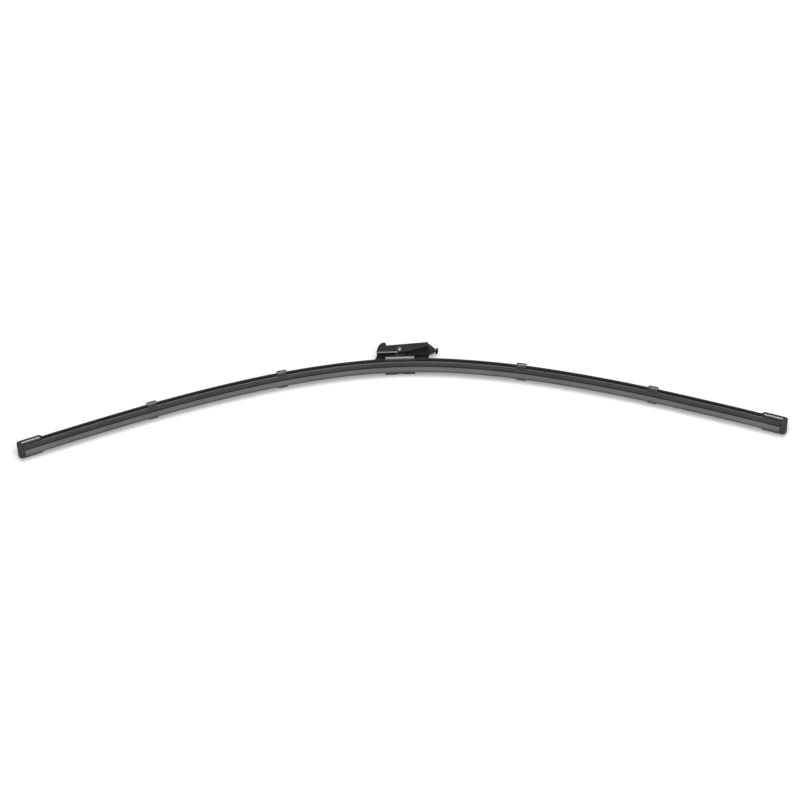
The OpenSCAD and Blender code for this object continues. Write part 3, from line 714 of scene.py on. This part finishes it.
def round_back(x, radius):
    """Height of the hood's back: a circle of that radius about the hood's centre, left of it."""
    x = np.minimum(x, HOOD_CENTRE[0])
    return HOOD_CENTRE[1] + np.sqrt(np.maximum(radius**2 - (x - HOOD_CENTRE[0]) ** 2, 0))


back_angle = np.linspace(0, np.radians(39), 36)
stations = np.unique(np.concatenate([
    HOOD_CENTRE[0] - HOOD_RADIUS * np.cos(back_angle), np.linspace(HOOD_LEFT, STEP_TOP - 0.6, 14),
    np.linspace(STEP_TOP - 0.6, STEP + 0.7, 40), np.linspace(STEP + 0.7, COVER_END - 0.5, 72),
    COVER_END - COVER_ROUND * (1 - np.sin(np.linspace(0, np.pi / 2, 6))),
    [SEAM_STEP, SEAM_STEP + 0.1, SEAM_DOWN, SEAM_RISE]]))
stations = stations[np.concatenate([[True], np.diff(stations) > 0.004])]
# The bevel at the hood's top, its flat top, and the front that leans back, all with soft corners
HOOD_POINTS = np.array([[COVER_BACK, 6.0], [HOOD_LEFT, 9.28], [-14.3, 9.43], [-13.9, HOOD_TOP],
                        [-12.15, HOOD_TOP], [-11.9, 9.4], [STEP_TOP, 9.05], [STEP - 0.1, 6.05],
                        [STEP + 0.2, 5.72], [STEP + 0.5, 0]])
hood_line = np.interp(stations, *HOOD_POINTS.T)
top = np.maximum(hood_line, deck_line(stations) * (stations > STEP_TOP))
top = np.maximum(np.minimum(top, round_back(stations, HOOD_RADIUS)), SKIRT + 0.15)
seam = np.interp(stations, [COVER_BACK, SEAM_STEP, SEAM_DOWN, SEAM_RISE, COVER_END],
                 [SKIRT, SKIRT, SEAM_LOW, SEAM_LOW, SEAM_END])
ceiling = np.minimum(round_back(stations, HOOD_RADIUS - DECK_WALL),
                     deck_line(np.maximum(stations, STEP - DECK_WALL)) - DECK_WALL)
ceiling = np.maximum(ceiling, seam + 0.02)
end_round = quarter(COVER_END - stations, COVER_ROUND)
top = top - end_round
# The ledge is a sloping foot of the side wall, up to the place where the seam steps down
ledge = np.interp(stations, [COVER_BACK, COVER_BACK + 0.8, SEAM_STEP, SEAM_STEP + 0.2],
                  [0.0, 1.0, 1.0, 0.0])
ledge = np.minimum(ledge, (top - seam) * 0.4)
# A shallow fold in the side walls runs down from the foot of the hood's step
fold = FOLD_DEPTH * np.exp(-((stations - STEP - 0.2) / FOLD_WIDTH) ** 2)
half = COVER_HALF - end_round - fold
edge = np.minimum(0.35, (top - seam) * 0.3)
zero = np.zeros_like(stations)
side_points = [(seam, half - 0.05 - LEDGE_INSET * ledge),
               (seam + 0.1 + LEDGE_RISE * ledge, half), (top, half)]
# The walls thin towards the seam, so a dark gap shows under them where there is no ledge
inner_points = [(ceiling, zero + COVER_INNER), (seam, COVER_INNER + SEAM_THIN * (1 - ledge))]
ring = np.stack([np.stack(p, -1) for p in (
    side_points + [(y, -z) for y, z in side_points[::-1]]
    + [(y, -z) for y, z in inner_points[::-1]] + inner_points)], 1)
lip, inside = zero + 0.04, zero + 0.01
cuts = np.stack([lip, lip, edge, edge, lip, lip, inside, inside, inside, inside], 1)
cover = with_place(rounded(ring, cuts, 5), stations, first=True)
FOOT_X, FOOT_LOW, BLOCK_LOW, FOOT_HALF, FOOT_RIM = 13.2, -8.04, -6.04, 3.4, 0.25
LEFT_TOE, LEFT_TOP = -20.9, -1.9
left_foot = [[LEFT_TOE, FOOT_LOW], [-FOOT_X, FOOT_LOW], [-FOOT_X, LEFT_TOP], [-18.75, LEFT_TOP],
             [COVER_BACK, SKIRT]]
# The left foot takes the darker acetal in slot 1, as painted shade under the hood
foot_skin = skin(at_pivot(slab(left_foot, -FOOT_HALF, FOOT_HALF, FOOT_RIM, cut=0.2)), slot=1)
build("cover", [skin(at_pivot(cover)), foot_skin], [connector_plastic, body_acetal_with_painted_shade], "connector",
      "connector_plastic", "connector_cover")

# %% [markdown]
# ## Connector body
# The body sits inside the cover and turns on the bush. Under the seam it stands back from the
# cover's walls by the wall's thickness, so the seam shows as a dark step. A foot reaches down
# beside the bracket, and the nose carries a round stud. Each part is a plate with round rims or a
# turned profile, and where they meet they run into each other.

# %% Connector body
BODY_HALF, BASE, POCKET_DEPTH, PLATE_INNER = 5.85, 24.55, 0.6, 5.0
BODY_LEFT, ROOF = 7, DECK_WALL + 0.15
core = [[BODY_LEFT, FOOT_LOW], [FOOT_X, FOOT_LOW], [FOOT_X, BLOCK_LOW], [BASE, BLOCK_LOW],
        [BASE, deck_line(BASE) - ROOF], [BODY_LEFT, deck_line(BODY_LEFT) - ROOF]]
# The side plates leave out a wedge-shaped pocket, open at the nose end
SILL, POCKET_TIP, POCKET_END = BLOCK_LOW + 3.2, 14.0, 0.52
plate = core[:4] + [[BASE, SILL], [POCKET_TIP, SILL], [POCKET_TIP, SILL + 0.25],
                    [BASE, POCKET_END]] + core[4:]
tongue = [[0, -3], [8, -3], [8, 3.6], [0, 3.6]]
RIGHT_TOE, RIGHT_TOP = 24.0, BLOCK_LOW + 1.5
right_foot = [[FOOT_X, FOOT_LOW], [RIGHT_TOE, FOOT_LOW], [BASE, RIGHT_TOP], [FOOT_X, RIGHT_TOP]]
body_skins = [skin(at_pivot(slab(outline, -half, half, rim))) for outline, half, rim in (
    (core, BODY_HALF - POCKET_DEPTH, 0.1), (tongue, 4.5, 0.2), (right_foot, FOOT_HALF, FOOT_RIM))]
body_skins += plate_pair(plate, PLATE_INNER, BODY_HALF, 0.15, cut=0.1)
# The saddle is a round block about the bush, as radius and distance from the middle
saddle = [[0.02, -4.5], [3.8, -4.5], [4.0, -4.3], [4.0, 4.3], [3.8, 4.5], [0.02, 4.5]]
body_skins.append(skin(at_pivot(turned(saddle, (0, 0, 0), (0, 0, 1)))))

# The nose and its stud turn round one axis that dips towards the front
NOSE_TILT, NOSE_DROP = np.radians(15), 2.5
NOSE_AXIS = (np.cos(NOSE_TILT), -np.sin(NOSE_TILT), 0)
NOSE_ROOT = (BASE, deck_line(BASE) - NOSE_DROP, 0)
# Radius and distance along that axis: the tapered nose with its neck, and the stud's round head
nose = [[0.02, -1.2], [5.3, -1.2], [5.3, 0], [5.22, 0.2], [2.24, 5.02], [2.05, 5.22], [1.8, 5.3],
        [1.36, 5.32], [1.3, 5.4], [1.3, 6.5], [0.02, 6.5]]
stud = [[0.02, 6.3], [2.5, 6.3], [2.68, 6.35], [2.75, 6.5], [2.75, 7.3], [2.68, 7.47], [2.3, 7.74],
        [1.8, 8.01], [1.2, 8.23], [0.6, 8.35], [0.02, 8.39]]
nose_rings = turned(nose, NOSE_ROOT, NOSE_AXIS)
nose_rings[..., 1] = np.minimum(nose_rings[..., 1], deck_line(BASE) - 0.02)
stud_rings = turned(stud, NOSE_ROOT, NOSE_AXIS)
body_skins += [skin(at_pivot(nose_rings), slot=1), skin(at_pivot(stud_rings))]
# Most of the body takes the darker acetal, whose extra depth is painted shade
build("body", body_skins, [body_acetal_with_painted_shade, connector_plastic], "connector", "connector_plastic",
      "connector_body")

# %% [markdown]
# ## Bush
# The spacer bush is hidden between the cheeks. Its CAD solid has the right shape, so it only gets
# the steel.

# %% Bush
bush_mesh = nodes["pivot_bush"].data
bush_mesh.materials.clear()
bush_mesh.materials.append(rivet_steel)
print("bush in", rivet_steel.name)
